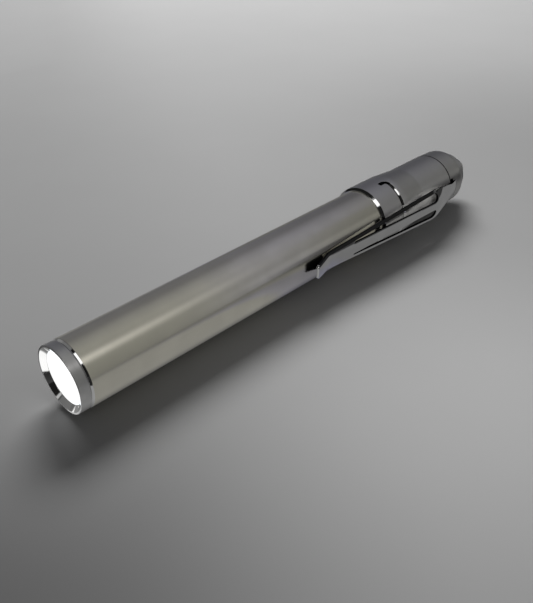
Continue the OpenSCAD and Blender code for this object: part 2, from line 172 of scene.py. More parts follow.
class Tree:
    """The nodes of a material or of the world."""

    def __init__(self, owner):
        owner.use_nodes = True
        self.nodes = owner.node_tree.nodes
        self.links = owner.node_tree.links
        self.nodes.clear()

    def plug(self, value, socket):
        if isinstance(value, Wire):
            self.links.new(value.socket, socket)
        else:
            socket.default_value = value

    def node(self, kind, settings=None, sockets=None, out=0):
        """A new node with its settings, then its sockets' values or wires; gives one output."""
        made = self.nodes.new(kind)
        for name, value in (settings or {}).items():
            if name == "stops":
                elements = made.color_ramp.elements
                while len(elements) < len(value):
                    elements.new(1.0)
                for element, (position, colour) in zip(elements, value):
                    element.position = position
                    element.color = (*colour, 1.0)
            else:
                setattr(made, name, value)
        for name, value in (sockets or {}).items():
            self.plug(value, made.inputs[name])
        return Wire(self, made.outputs[out]) if made.outputs else made

    def scaled(self, vector, scale):
        return self.node("ShaderNodeVectorMath", {"operation": "MULTIPLY"}, {0: vector, 1: scale})

    def noise(self, vector, scale, detail):
        sockets = {"Vector": vector, "Scale": scale, "Detail": detail}
        return self.node("ShaderNodeTexNoise", {}, sockets)

    def mix(self, factor, first, second, blend="MIX"):
        """Two colours mixed, or blended in another way, by a factor."""
        settings = {"data_type": "RGBA", "blend_type": blend}
        return self.node("ShaderNodeMix", settings, {0: factor, 6: first, 7: second}, out=2)

    def colour(self, red, green, blue):
        """Three values as one colour."""
        return self.node("ShaderNodeCombineColor", {}, {0: red, 1: green, 2: blue})

    def split(self, vector):
        parts = self.node("ShaderNodeSeparateXYZ", {}, {0: vector}).socket.node
        return [Wire(self, socket) for socket in parts.outputs]

    def in_mm(self, vector):
        """The three parts of a place, in millimetres."""
        return self.split(self.scaled(vector, (1 / MM, 1 / MM, 1 / MM)))

    def within(self, value, low, high):
        """0 below low, 1 above high and a smooth step between; low may be the higher one."""
        return self.node(
            "ShaderNodeMapRange", {"interpolation_type": "SMOOTHSTEP"},
            {"Value": value, "From Min": low, "From Max": high},
        )

    def band(self, value, rise, fall):
        """1 between two smooth steps, each given as the low and high of within."""
        return self.within(value, *rise) * self.within(value, *fall)


def grey(value):
    """A grey as a colour."""
    return (value, value, value, 1.0)


print("shader helpers ready")

# %% [markdown]
# ## Steel finishes
#
# The tube and the cap are satin: the last pass on the lathe leaves rings far too fine to see one by
# one, which soften every reflection, and handling leaves faint cloudy patches. One function makes
# all the steels from a colour, a roughness and how deep the rings are. Noise squeezed along the
# axis and left long round it gives the rings, so no seam shows anywhere round the tube.

# %% Steel
RING_SCALE = (9000.0, 260.0, 260.0)
WAVE_SCALE = (60.0, 500.0, 500.0)
CLOUD_SCALE = 170.0
SPECK_SCALE = 2600.0
RING_SHARE = 0.12
PATCHY = (0.3, 0.7)
NOISE_MIDDLE = 0.5
BUMP_STRENGTH = 0.1
BUMP_HEIGHT = 0.0015 * MM
SHADE_LINE_BLACK = 0.006
SHADE_LINE_DULL = 0.4


def finish(name, **constants):
    """A material with one Principled shader, whose constant values are set on its own sockets."""
    material = bpy.data.materials.new(name)
    tree = Tree(material)
    shader = tree.nodes.new("ShaderNodeBsdfPrincipled")
    for socket, value in constants.items():
        shader.inputs[socket.replace("_", " ")].default_value = value
    tree.node("ShaderNodeOutputMaterial", {}, {"Surface": Wire(tree, shader.outputs[0])})
    return material, tree, shader.inputs


def on_axis(tree):
    """Object coordinates, moved so that the penlight's axis runs through their origin."""
    coordinates = tree.node("ShaderNodeTexCoord", out="Object")
    return tree.node(
        "ShaderNodeVectorMath", {"operation": "SUBTRACT"},
        {0: coordinates, 1: (FRONT, AXIS_Y, AXIS_Z)},
    )


def steel(name, colour, roughness, rings, wave=0.0, wear=0.08, painted=None):
    """Turned steel: fine rings, cloudy wear; where asked, a slight waviness and a painted shade
    line.
    """
    material, tree, sockets = finish(name, Metallic=1.0)
    at = on_axis(tree)
    ring = tree.noise(tree.scaled(at, RING_SCALE), 1.0, 3.0)
    cloud = tree.noise(at, CLOUD_SCALE, 4.0)
    speck = tree.noise(at, SPECK_SCALE, 1.0)
    worn = tuple((1 - wear) * c for c in colour)
    patch = tree.within(RING_SHARE * ring + (1 - RING_SHARE) * cloud, *PATCHY)
    shade = tree.mix(patch, (*colour, 1.0), (*worn, 1.0))
    rough = 1.0
    for pattern, strength in ((ring, 0.2 * rings), (cloud, 0.5), (speck, 0.1)):
        rough = rough + strength * (pattern - NOISE_MIDDLE)
    rough = roughness * rough
    # Where asked, a dull black line of painted shade covers the steel.
    if painted:
        paint = painted(tree, at)
        shade = tree.mix(paint, shade, grey(SHADE_LINE_BLACK))
        rough = rough + SHADE_LINE_DULL * paint
        tree.plug(1 - paint, sockets["Metallic"])
    tree.plug(shade, sockets["Base Color"])
    tree.plug(rough, sockets["Roughness"])
    height = rings * ring + wave * tree.noise(tree.scaled(at, WAVE_SCALE), 1.0, 1.0)
    bump = tree.node(
        "ShaderNodeBump", {}, {"Strength": BUMP_STRENGTH, "Distance": BUMP_HEIGHT, "Height": height}
    )
    tree.plug(bump, sockets["Normal"])
    return material


BARREL_STEEL = steel(
    "satin_barrel_steel", (0.70, 0.68, 0.59), roughness=0.19, rings=0.6, wave=2.0, wear=0.06
)
CAP_STEEL = steel("satin_cap_steel", (0.60, 0.595, 0.585), roughness=0.32, rings=0.5)
BEZEL_STEEL = steel("satin_bezel_steel", (0.58, 0.58, 0.575), roughness=0.32, rings=1.0, wear=0.25)
POLISHED = steel("polished_steel", (0.80, 0.80, 0.79), roughness=0.07, rings=0.1)
THREAD_STEEL = steel("cut_thread_steel", (0.55, 0.54, 0.52), roughness=0.24, rings=0.8)
SPRING_STEEL = steel("spring_wire_steel", (0.62, 0.62, 0.63), roughness=0.22, rings=0.2)
print("steels:", len([m for m in bpy.data.materials if "steel" in m.name]))

# %% [markdown]
# ## Matt finishes
#
# Not all of it shines. The narrow grooves, the pocket, the seams at the tail and the stamped edges
# of the clip are painted black, as painted shade: it draws the dark lines that shade and dark
# reflections give these places. The clip's underside is sand-blasted, so it stays pale and dull.
# Light that falls into the clip's slots bounces there many times, which costs many samples, so the
# back of the bar between them gets a weak painted glow instead. Plastics, rubber and laminate come
# later from the same function: one colour, a grain that varies it, and the same grain as a bump.

# %% Matt
GRAIN_DARK = 0.75
GRAIN_HEIGHT = 0.03 * MM


def grained(name, colour, roughness, scale, depth, **constants):
    """A moulded or drawn surface: one colour that varies a little, with a fine bump."""
    material, tree, sockets = finish(name, **constants)
    at = on_axis(tree)
    grain = tree.noise(at, scale, 3.0)
    dark = tuple(GRAIN_DARK * c for c in colour)
    shade = tree.mix(tree.within(grain, *PATCHY), (*colour, 1.0), (*dark, 1.0))
    tree.plug(shade, sockets["Base Color"])
    tree.plug(roughness * (0.8 + 0.4 * grain), sockets["Roughness"])
    bump = tree.node(
        "ShaderNodeBump", {}, {"Strength": depth, "Distance": GRAIN_HEIGHT, "Height": grain}
    )
    tree.plug(bump, sockets["Normal"])
    return material


BLASTED_GREY = (0.85, 0.85, 0.84)
BAR_GLOW = 0.17

# Painted shade: a flat black for the grooves, the pocket, the seams and the clip's edges.
PAINTED_SHADE_FINISH = grained(
    "black_lacquer", (0.008, 0.008, 0.009), 0.4, 3000.0, 0.1, Specular_IOR_Level=0.0
)
BLASTED = grained("blasted_clip_steel", BLASTED_GREY, 0.6, 5000.0, 0.2)
# Painted glow on the back of the bar, standing in for light bounced into the clip's slots.
GLOWING_BAR_BACK = grained(
    "blasted_bar_back", BLASTED_GREY, 0.6, 5000.0, 0.2,
    Emission_Color=(0.9, 0.9, 0.89, 1.0), Emission_Strength=BAR_GLOW,
)
print("matt finishes:", PAINTED_SHADE_FINISH.name, BLASTED.name, GLOWING_BAR_BACK.name)

# %% [markdown]
# ## The lit lens
#
# The head is on, so the clear window looks like a plain white disc, a little cooler at its rim.
# Tracing light from the emitter through glass and a mirror bowl would cost many samples and still
# end up white, so the lens carries the glow itself, at just over the strength of white.

# %% Lens glow
GLOW = 1.15
LENS_WHITE = grey(1.0)
LENS_RIM = (0.80, 0.87, 0.95, 1.0)
RIM_FROM = 0.86

LENS_GLOW, lens_tree, lens_sockets = finish(
    "lit_lens", Roughness=0.12, Base_Color=(0.9, 0.92, 0.95, 1.0), Emission_Strength=GLOW
)
_, lens_across, lens_up = lens_tree.split(on_axis(lens_tree))
rim_share = (lens_across * lens_across + lens_up * lens_up) ** 0.5 / (LENS_R * MM)
lens_tree.plug(
    lens_tree.mix(lens_tree.within(rim_share, RIM_FROM, 1.0), LENS_WHITE, LENS_RIM),
    lens_sockets["Emission Color"],
)
print("lens glow:", LENS_GLOW.name)

# %% [markdown]
# ## Outlines with broken edges
#
# No turned edge is perfectly sharp: the tool leaves a small round on each, and that is where metal
# catches the light. An outline is a list of corners, each with its radius, and `rounded` swaps each
# corner for an arc. Smooth shading would bend the light all along a flat face that ends in such an
# arc, so `held` adds a ring close to each end of every flat. Each stretch also has the number of
# its look. The skin is the piece's outer face, which cuts such as a groove work on, so it can be
# asked for more points there.

# %% Outline helpers
SKIN, BRIGHT, THREADED, PAINTED_SHADE = 0, 1, 2, 3
SMALL_ROUND = 0.5
COARSE_STEP = math.radians(15)
FINE_STEP = math.radians(5)
HOLD = 0.04


def rounded(corners, closed=True):
    """Turns corners of (a, b, radius, ...) into a line whose corners are arcs."""
    line = []
    for i, (a, b, radius, *rest) in enumerate(corners):
        if radius == 0 or not closed and i in (0, len(corners) - 1):
            line.append((a, b, *rest))
            continue
        here = Vector((a, b))
        u = (Vector(corners[i - 1][:2]) - here).normalized()
        v = (Vector(corners[(i + 1) % len(corners)][:2]) - here).normalized()
        half = u.angle(v) / 2
        centre = here + (u + v).normalized() * radius / math.sin(half)
        first = here + u * radius / math.tan(half) - centre
        last = here + v * radius / math.tan(half) - centre
        sweep = math.atan2(first.x * last.y - first.y * last.x, first.dot(last))
        steps = math.ceil(abs(sweep) / (COARSE_STEP if radius < SMALL_ROUND else FINE_STEP)) + 1
        start = math.atan2(first.y, first.x)
        for k in range(steps + 1):
            angle = start + sweep * k / steps
            line.append((
                centre.x + radius * math.cos(angle),
                centre.y + radius * math.sin(angle),
                *rest,
            ))
    return line


def held(line, zones=()):
    """Adds points close to both ends of each straight stretch, and at a step inside some zones."""
    out = []
    for i, (a, b, *rest) in enumerate(line):
        a2, b2 = line[(i + 1) % len(line)][:2]
        length = math.hypot(a2 - a, b2 - b)
        shares = {0.0}
        if length > 4 * HOLD:
            shares |= {HOLD / length, 1 - HOLD / length}
        for low, high, zone_step in zones:
            if rest[-1] == SKIN and min(a, a2) < high and max(a, a2) > low:
                count = math.ceil(length / zone_step)
                steps = [k / count for k in range(count)]
                shares |= {t for t in steps if low < a + (a2 - a) * t < high}
        out += [(a + (a2 - a) * t, b + (b2 - b) * t, *rest) for t in sorted(shares)]
    return out


print("outline helpers ready")

# %% [markdown]
# ## A lathe
#
# A turned piece is its outline swept round the axis. The Screw modifier does that too, but a few
# lines of bmesh also let each stretch of the outline have its own finish, and let a cut such as a
# groove press the skin in as it is made.

# %% Lathe
SEGMENTS = 192
SHARP = math.radians(38)


def to_object(name, bm, materials):
    """A new object with the mesh of bm, smooth but for its sharp edges."""
    bmesh.ops.remove_doubles(bm, verts=bm.verts, dist=1e-7)
    bmesh.ops.recalc_face_normals(bm, faces=bm.faces)
    mesh = bpy.data.meshes.new(name)
    bm.to_mesh(mesh)
    bm.free()
    mesh.shade_smooth()
    mesh.set_sharp_from_angle(angle=SHARP)
    for material in materials:
        mesh.materials.append(material)
    made = bpy.data.objects.new(name, mesh)
    scene.collection.objects.link(made)
    return made


def lathe(name, corners, materials, cut=None, zones=(), segments=SEGMENTS):
    """A closed mesh from corners of (s, r, radius, look); cut gives a depth and a look."""
    line = held(rounded(corners), zones)
    turns = [2 * math.pi * k / segments for k in range(segments)]
    bm = bmesh.new()
    rings = []
    for s, r, look in line:
        if r == 0:
            rings.append([bm.verts.new(place(s, 0, 0))] * segments)
            continue
        depths = [cut(s, r, turn)[0] if cut and look == SKIN else 0 for turn in turns]
        rings.append([bm.verts.new(place(s, r - depths[k], turns[k])) for k in range(segments)])
    for i, (s, r, look) in enumerate(line):
        s2, r2 = line[(i + 1) % len(line)][:2]
        if r == 0 and r2 == 0:
            continue
        first, second = rings[i], rings[(i + 1) % len(line)]
        for k in range(segments):
            k2 = (k + 1) % segments
            around = dict.fromkeys([first[k], first[k2], second[k2], second[k]])
            face = bm.faces.new(list(around))
            face.material_index = look
            if cut and look == SKIN:
                middle = turns[k] + math.pi / segments
                face.material_index = cut((s + s2) / 2, (r + r2) / 2, middle)[1]
    return to_object(name, bm, materials)


def dress(piece, body, slot, *nodes):
    """The piece rides on a body and stands for CAD nodes, which it hides; the slot is not used."""
    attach(piece, body)
    if nodes:
        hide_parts(*nodes)
    print(piece.name, "faces:", len(piece.data.polygons), "rides on", body)


print("lathe with", SEGMENTS, "segments")

# %% [markdown]
# ## Head: bezel, lens and barrel
#
# The bezel is a ring that screws into the tube and holds the lens. Its side is satin, and inside
# its narrow flat rim a polished bevel leads down to the lens. The barrel starts with a polished
# chamfer, so the joint between them is a bright-and-dark line. All three are outlines for the
# lathe.

# %% Bezel and lens
BEZEL_S, BEZEL_END, BEZEL_R = span("bezel")
RIM_W = 0.4
BEVEL_DEPTH = 0.9
WINDOW_R = LENS_R - 0.3
SEAT_R = LENS_R + 0.03
SPIGOT_R = 6.37

bezel = lathe("bezel_ring", [
    (BEZEL_S, BEZEL_R - RIM_W, 0.05, BRIGHT),
    (BEVEL_DEPTH, WINDOW_R, 0.08, BRIGHT),
    (LENS_S, WINDOW_R, 0, BRIGHT),
    (LENS_S, SEAT_R, 0, BRIGHT),
    (BEZEL_END, SEAT_R, 0, BRIGHT),
    (BEZEL_END, SPIGOT_R, 0, SKIN),
    (BARREL_S, SPIGOT_R, 0, SKIN),
    (BARREL_S, BEZEL_R, 0.15, SKIN),
    (BEZEL_S, BEZEL_R, 0.12, SKIN),
], [BEZEL_STEEL, POLISHED])
dress(bezel, "barrel", "bezel_steel", "bezel")

DOME = 0.1
DOME_R = LENS_R - 0.35
DOME_STEPS = 8
lens_front = [
    (LENS_S + DOME * (k / DOME_STEPS) ** 2, DOME_R * k / DOME_STEPS, 0, SKIN)
    for k in range(DOME_STEPS + 1)
]
lens = lathe("lens_window", lens_front + [
    (LENS_S + DOME, LENS_R, 0.06, SKIN),
    (LENS_END, LENS_R, 0.06, SKIN),
    (LENS_END, 0, 0, SKIN),
], [LENS_GLOW])
dress(lens, "barrel", "lens_glass", "lens")

# %% Barrel
CHAMFER = 0.6
CHAMFER_DROP = 0.5
SHOULDER = CAP_S - 0.1
THREAD_ROOT = 6.65
BORE_R = 6.4

barrel = lathe("barrel_tube", [
    (BARREL_S, BORE_R, 0, BRIGHT),
    (BARREL_S, BARREL_R - CHAMFER_DROP, 0, BRIGHT),
    (BARREL_S + CHAMFER, BARREL_R, 0.15, SKIN),
    (SHOULDER, BARREL_R, 0.08, SKIN),
    (SHOULDER, THREAD_ROOT, 0.1, THREADED),
    (BARREL_END, THREAD_ROOT, 0.1, THREADED),
    (BARREL_END, BORE_R, 0, BRIGHT),
], [BARREL_STEEL, POLISHED, THREAD_STEEL])
dress(barrel, "barrel", "barrel_steel", "barrel")

# %% [markdown]
# ## The thread under the cap
#
# When the cap is unscrewed, the thread on the barrel's end comes into view. A thread is a ridge
# along a helix, so Geometry Nodes can sweep a small profile along a Spiral curve. The same tree,
# with other numbers, winds the two coil springs inside: real springs lie flat for a turn at each
# end, which a Map Range on the curve's own factor gives.

# %% Coil tree
POINTS_PER_TURN = 48


def coil_tree():
    """Geometry Nodes tree that winds a profile of few or many sides into a coil along +X."""
    tree = bpy.data.node_groups.new("coil", "GeometryNodeTree")
    face = tree.interface
    for name, kind in (
        ("Start radius", "Float"), ("End radius", "Float"), ("Length", "Float"),
        ("Turns", "Float"), ("Wire radius", "Float"), ("Wire sides", "Int"),
        ("Flat share", "Float"), ("Place", "Vector"), ("Finish", "Material"),
    ):
        face.new_socket(name, in_out="INPUT", socket_type="NodeSocket" + kind)
    face.new_socket("Geometry", in_out="OUTPUT", socket_type="NodeSocketGeometry")
    sizes = tree.nodes.new("NodeGroupInput").outputs

    def add(kind, settings=None, **links):
        made = tree.nodes.new(kind)
        for name, value in (settings or {}).items():
            setattr(made, name, value)
        for name, value in links.items():
            socket = made.inputs[name.replace("_", " ")]
            if isinstance(value, bpy.types.NodeSocket):
                tree.links.new(value, socket)
            else:
                socket.default_value = value
        return made.outputs

    helix = add(
        "GeometryNodeCurveSpiral", Resolution=POINTS_PER_TURN, Rotations=sizes["Turns"],
        Start_Radius=sizes["Start radius"], End_Radius=sizes["End radius"], Height=sizes["Length"],
    )["Curve"]
    factor = add("GeometryNodeSplineParameter")["Factor"]
    far = add("ShaderNodeMath", {"operation": "SUBTRACT"})
    far[0].node.inputs[0].default_value = 1.0
    tree.links.new(sizes["Flat share"], far[0].node.inputs[1])
    rise = add(
        "ShaderNodeMapRange", Value=factor, From_Min=sizes["Flat share"], From_Max=far[0],
        To_Max=sizes["Length"],
    )["Result"]
    at = add("GeometryNodeInputPosition")["Position"]
    parts = add("ShaderNodeSeparateXYZ", Vector=at)
    wound = add("ShaderNodeCombineXYZ", X=rise, Y=parts["X"], Z=parts["Y"])["Vector"]
    line = add("GeometryNodeSetPosition", Geometry=helix, Position=wound)["Geometry"]
    section = add(
        "GeometryNodeCurvePrimitiveCircle", Resolution=sizes["Wire sides"],
        Radius=sizes["Wire radius"],
    )["Curve"]
    tube = add("GeometryNodeCurveToMesh", Curve=line, Profile_Curve=section, Fill_Caps=True)["Mesh"]
    moved = add("GeometryNodeTransform", Geometry=tube, Translation=sizes["Place"])["Geometry"]
    solid = add("GeometryNodeRealizeInstances", Geometry=moved)["Geometry"]
    dressed = add("GeometryNodeSetMaterial", Geometry=solid, Material=sizes["Finish"])["Geometry"]
    tree.links.new(dressed, tree.nodes.new("NodeGroupOutput").inputs["Geometry"])
    return tree


COIL = coil_tree()
print("coil tree nodes:", len(COIL.nodes))

# %% Wind the thread
def wind(name, **sizes):
    """A plain mesh object from the coil tree with these sizes."""
    seed = bpy.data.objects.new(name + "_seed", bpy.data.meshes.new(name + "_seed"))
    scene.collection.objects.link(seed)
    modifier = seed.modifiers.new("coil", "NODES")
    modifier.node_group = COIL
    for item in COIL.interface.items_tree:
        if item.in_out == "INPUT":
            modifier[item.identifier] = sizes[item.name.replace(" ", "_").lower()]
    graph = bpy.context.evaluated_depsgraph_get()
    mesh = bpy.data.meshes.new_from_object(seed.evaluated_get(graph))
    mesh.name = name
    bpy.data.objects.remove(seed)
    bm = bmesh.new()
    bm.from_mesh(mesh)
    return to_object(name, bm, list(mesh.materials))


PITCH = 1.0
RIDGE = 0.34
RIDGE_R = 6.95 - RIDGE
RIDGE_SIDES = 4
ridge_length = BARREL_END - SHOULDER - 2 * PITCH

thread = wind(
    "thread_ridge", start_radius=RIDGE_R * MM, end_radius=RIDGE_R * MM, length=ridge_length * MM,
    turns=ridge_length / PITCH, wire_radius=RIDGE * MM, wire_sides=RIDGE_SIDES, flat_share=0.0,
    place=place(SHOULDER + PITCH, 0, 0), finish=THREAD_STEEL,
)
dress(thread, "barrel", "barrel_steel")


# %% Wind the springs
def spring(name, node, wire, radii, **sizes):
    """A coil of wire that fills the length of a node and stands for it."""
    low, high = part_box(node)
    coil = wind(
        name, start_radius=radii[0] * MM, end_radius=radii[1] * MM,
        length=high.x - low.x - wire * MM, wire_radius=wire / 2 * MM,
        place=(low.x + wire / 2 * MM, AXIS_Y, AXIS_Z), finish=SPRING_STEEL, **sizes,
    )
    dress(coil, "tail", "spring_steel", node)
    return coil


spring("battery_coil", "battery_spring", 0.6, (2.5, 3.6), turns=5.0, wire_sides=14, flat_share=0.13)
switch_spring = spring(
    "switch_coil", "switch_spring", 0.3, (1.1, 1.1), turns=6.0, wire_sides=12, flat_share=0.12
)
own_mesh(switch_spring)

# %% [markdown]
# ## The cap, with its groove and the clip's pocket
#
# The cap's collar has one ornament, a C-shaped groove that reads as a black line: half a ring on
# the clip's side with a short forward hook at each end. Further back, the neck is cut away for the
# clip's root. Booleans would leave knife edges, so the lathe presses the skin in instead: each cut
# is a distance to a shape, and a smooth step over that distance gives soft walls. The groove's
# floor and the pocket are painted black, as painted shade in these recesses.

# %% Cuts in the cap
GROOVE_S = CAP_S + 8.1
GROOVE_HALF = 0.55
GROOVE_DEPTH = 0.42
GROOVE_BEND = 1.1
GROOVE_HOOK = 2.1
GROOVE_TURN_Y = -2 * GROOVE_HALF - GROOVE_BEND
SOFT = 0.1
CAP_END = END_S - 0.1
POCKET_S = CAP_END - 1.12
POCKET_SLOPE = 0.2372
ROOT_HALF = 2.28
ROOT_END = CAP_END + 2.8
RELIEF_R = 0.75


def smooth_step(low, high, value):
    """0 below low, 1 above high and a smooth step between."""
    share = min(max((value - low) / (high - low), 0.0), 1.0)
    return share * share * (3 - 2 * share)


def groove_offset(s, y):
    """How far a place lies behind or outside the C-shaped line; y is how far past the axis."""
    bend_s = GROOVE_S - GROOVE_BEND
    if y < GROOVE_TURN_Y:
        return s - GROOVE_S
    if s > bend_s:
        return math.hypot(y - GROOVE_TURN_Y, s - bend_s) - GROOVE_BEND
    aside = y - GROOVE_TURN_Y - GROOVE_BEND
    return math.copysign(math.hypot(aside, min(s - GROOVE_S + GROOVE_HOOK, 0)), aside)


def pocket_floor(s):
    """Radius of the pocket's floor, which slopes in under the clip's root."""
    return NECK_R - POCKET_SLOPE * (s - POCKET_S)


def pocket_edge(s, z):
    """How far a place is inside the pocket or one of its two round reliefs."""
    inside = min(ROOT_HALF - abs(z), ROOT_END - s)
    relief = RELIEF_R - math.hypot(abs(z) - ROOT_HALF, s - CAP_END - RELIEF_R)
    return max(inside, relief)


def cap_cut(s, r, turn):
    """How deep the skin is pressed in at a place, and the look that it gets there."""
    past_axis = -r * math.cos(turn)
    offset = groove_offset(s, past_axis)
    # The groove's floor is painted black, painted shade in the recess, but for a polished sloping
    # wall.
    if abs(offset) < GROOVE_HALF:
        near_wall = smooth_step(-GROOVE_HALF, SOFT - GROOVE_HALF, offset)
        far_slope = min((GROOVE_HALF - offset) / GROOVE_DEPTH, 1)
        bright_wall = past_axis < GROOVE_TURN_Y and far_slope < 1
        return GROOVE_DEPTH * near_wall * far_slope, BRIGHT if bright_wall else PAINTED_SHADE
    if past_axis > 0:
        return 0, SKIN
    # The pocket's floor is painted black too, painted shade under the clip's root.
    edge = smooth_step(-SOFT, SOFT, pocket_edge(s, r * math.sin(turn)))
    depth = max(r - pocket_floor(s), 0) * edge
    return depth, PAINTED_SHADE if depth > SOFT else SKIN


print(f"groove at {GROOVE_S:.2f} mm, pocket from {POCKET_S:.2f} to {ROOT_END:.2f} mm")

# %% Tail cap
MOUTH_R = 7.07
CAP_BORE_R = NECK_R - 1.05
STUB_R = NECK_R - 1.45
REAR_BORE_R = 4.45
SEAL_S = CAP_S + 1.4
SEAL_HALF = 0.33
SEAL_ROOM_R = 7.61
COLLAR_END = CAP_S + 10
NECK_S = COLLAR_END + 7.3
SLOPE_ROUND = 5
COLLAR_CHAMFER = 0.6
SEAM = 0.14
BOARD_END = CAP_END - 3.5
MOUTH_END = BARREL_END + 0.6
# Zones with finer rings: start, end and step.
GROOVE_ZONE = (GROOVE_S - GROOVE_HOOK - 0.7, GROOVE_S + 0.7, 0.07)
POCKET_ZONE = (CAP_END - 1.3, CAP_END, 0.08)
FINE_SEGMENTS = 480
TAIL_LOOKS = [CAP_STEEL, POLISHED, THREAD_STEEL, PAINTED_SHADE_FINISH]

tail_cap = lathe("tail_cap_shell", [
    (CAP_S, MOUTH_R, 0.05, BRIGHT),
    (CAP_S, COLLAR_R - COLLAR_CHAMFER, 0.03, BRIGHT),
    (CAP_S + COLLAR_CHAMFER, COLLAR_R, 0.08, SKIN),
    (COLLAR_END, COLLAR_R, SLOPE_ROUND, SKIN),
    (NECK_S, NECK_R, SLOPE_ROUND, SKIN),
    # The seam's chamfer and the cap's rear face are painted black, painted shade in the joint.
    (CAP_END - SEAM, NECK_R, 0.04, PAINTED_SHADE),
    (CAP_END, NECK_R - SEAM, 0, PAINTED_SHADE),
    (CAP_END, STUB_R, 0, BRIGHT),
    (STUB_END, STUB_R, 0.1, BRIGHT),
    (STUB_END, REAR_BORE_R, 0, BRIGHT),
    (BOARD_END, REAR_BORE_R, 0, BRIGHT),
    (BOARD_END, CAP_BORE_R, 0, BRIGHT),
    (MOUTH_END, CAP_BORE_R, 0, BRIGHT),
    (MOUTH_END, MOUTH_R, 0, THREADED),
    (SEAL_S + SEAL_HALF, MOUTH_R, 0, THREADED),
    (SEAL_S + SEAL_HALF, SEAL_ROOM_R, 0, THREADED),
    (SEAL_S - SEAL_HALF, SEAL_ROOM_R, 0, THREADED),
    (SEAL_S - SEAL_HALF, MOUTH_R, 0, THREADED),
], TAIL_LOOKS, cap_cut, (GROOVE_ZONE, POCKET_ZONE), FINE_SEGMENTS)
dress(tail_cap, "tail", "tail_steel", "tail_cap")

# %% [markdown]
# ## End cap and button
#
# A tapered cover closes the tail, with a round shoulder and a flat rim round the chrome button. The
# button is one outline with a large arc for its dome. The narrow gap between its side and the rim
# draws a dark line round it.

# %% End cap
BUTTON_R = FLANGE_R - 0.6
SIDE_END = CAP_END + 5.5
SIDE_R = NECK_R - 0.2
END_ROUND = 2.4
HOLE_R = BUTTON_R + 0.08
FACE_R = HOLE_R + 2
LIP_S = END_END - 1.4
LIP_MID = END_END - 0.7
BUTTON_SEAL_HALF = 0.43
BUTTON_SEAL_R = HOLE_R + 0.78
CAVITY_R = 4.55
CAVITY_S = STUB_END + 0.1
STUB_ROOM_R = STUB_R + 0.03
ROOT_ZONE = (END_S, ROOT_END + 0.4, 0.08)


def end_cut(s, r, turn):
    """The cap's cuts, but none in the tapered end."""
    return cap_cut(s, r, turn) if s < SIDE_END else (0, SKIN)


end_cap = lathe("end_cap_shell", [
    # The end cap's face and chamfer in the seam are painted black, painted shade in the joint.
    (END_S, STUB_ROOM_R, 0, PAINTED_SHADE),
    (END_S, NECK_R - SEAM, 0, PAINTED_SHADE),
    (END_S + SEAM, NECK_R, 0.04, SKIN),
    (SIDE_END, SIDE_R, END_ROUND, SKIN),
    (END_END, FACE_R, 0.2, BRIGHT),
    (END_END, HOLE_R, 0.06, BRIGHT),
    (LIP_MID + BUTTON_SEAL_HALF, HOLE_R, 0, BRIGHT),
    (LIP_MID + BUTTON_SEAL_HALF, BUTTON_SEAL_R, 0, BRIGHT),
    (LIP_MID - BUTTON_SEAL_HALF, BUTTON_SEAL_R, 0, BRIGHT),
    (LIP_MID - BUTTON_SEAL_HALF, HOLE_R, 0, BRIGHT),
    (LIP_S, HOLE_R, 0, BRIGHT),
    (LIP_S, CAVITY_R, 0, BRIGHT),
    (CAVITY_S, CAVITY_R, 0, BRIGHT),
    (CAVITY_S, STUB_ROOM_R, 0, BRIGHT),
], TAIL_LOOKS, end_cut, (ROOT_ZONE,), FINE_SEGMENTS)
dress(end_cap, "tail", "tail_steel", "end_cap")

# %% Button
FLANGE_END = LIP_S - 0.08
BUTTON_DOME = BUTTON_R * 0.94
SOCKET_R = 1.83
SOCKET_END = BUTTON_S + 1.2

button = lathe("push_button", [
    (SOCKET_END, 0, 0, SKIN),
    (SOCKET_END, SOCKET_R, 0, SKIN),
    (BUTTON_S, SOCKET_R, 0, SKIN),
    (BUTTON_S, FLANGE_R, 0.08, SKIN),
    (FLANGE_END, FLANGE_R, 0.08, SKIN),
    (FLANGE_END, BUTTON_R, 0, SKIN),
    (BUTTON_END, BUTTON_R, BUTTON_DOME, SKIN),
    (BUTTON_END, 0, 0, SKIN),
], [POLISHED])
dress(button, "button", "button_chrome", "button")

# %% [markdown]
# ## The pocket clip
#
# A clip is stamped from spring steel sheet and then bent, and the mesh is made in the same order.
# The flat outline with its two slots is filled with triangles, each point is lifted to its place on
# the bent strip, Solidify gives the sheet its thickness, and Bevel breaks the stamped edges, which
# are painted black as painted shade, but for the bare tip. Weighted normals keep the flat faces
# flat in the light, although the bevels are smooth. A black line of painted shade runs along the
# upper edge of the face, and parts of the underside are painted black as painted shade too.

# %% Flat outline of the clip
clip_low, clip_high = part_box("pocket_clip")
TIP_S = (clip_low.x - FRONT) / MM
ROOT_S = (clip_high.x - FRONT) / MM
SHEET = 0.55
NOSE_S = TIP_S + 5.5
SHOULDER_S = ROOT_S - 11.3
TIP_HALF, NOSE_HALF, SHOULDER_HALF, ROOT_WIDE = 1.7, 2.2, 4.5, 2.1
BAR_HALF, RAIL, SLOT_LENGTH, SLOT_BACK = 1.05, 0.8, 32.0, 1.0
SLOT_TIP_ROUND = 0.096
SLOT_REAR_SHARE = 0.45


def flipped(corners):
    """The same corners on the other side of the clip's middle line."""
    return [(-across, s, radius) for across, s, radius in corners]


half_outline = [
    (TIP_HALF, TIP_S, 0.55),
    (NOSE_HALF, NOSE_S, 3),
    (SHOULDER_HALF, SHOULDER_S, 12),
    (ROOT_WIDE, CAP_END, 3),
    (ROOT_WIDE, ROOT_S, 0.2),
]
clip_outline = rounded(half_outline + flipped(reversed(half_outline)))

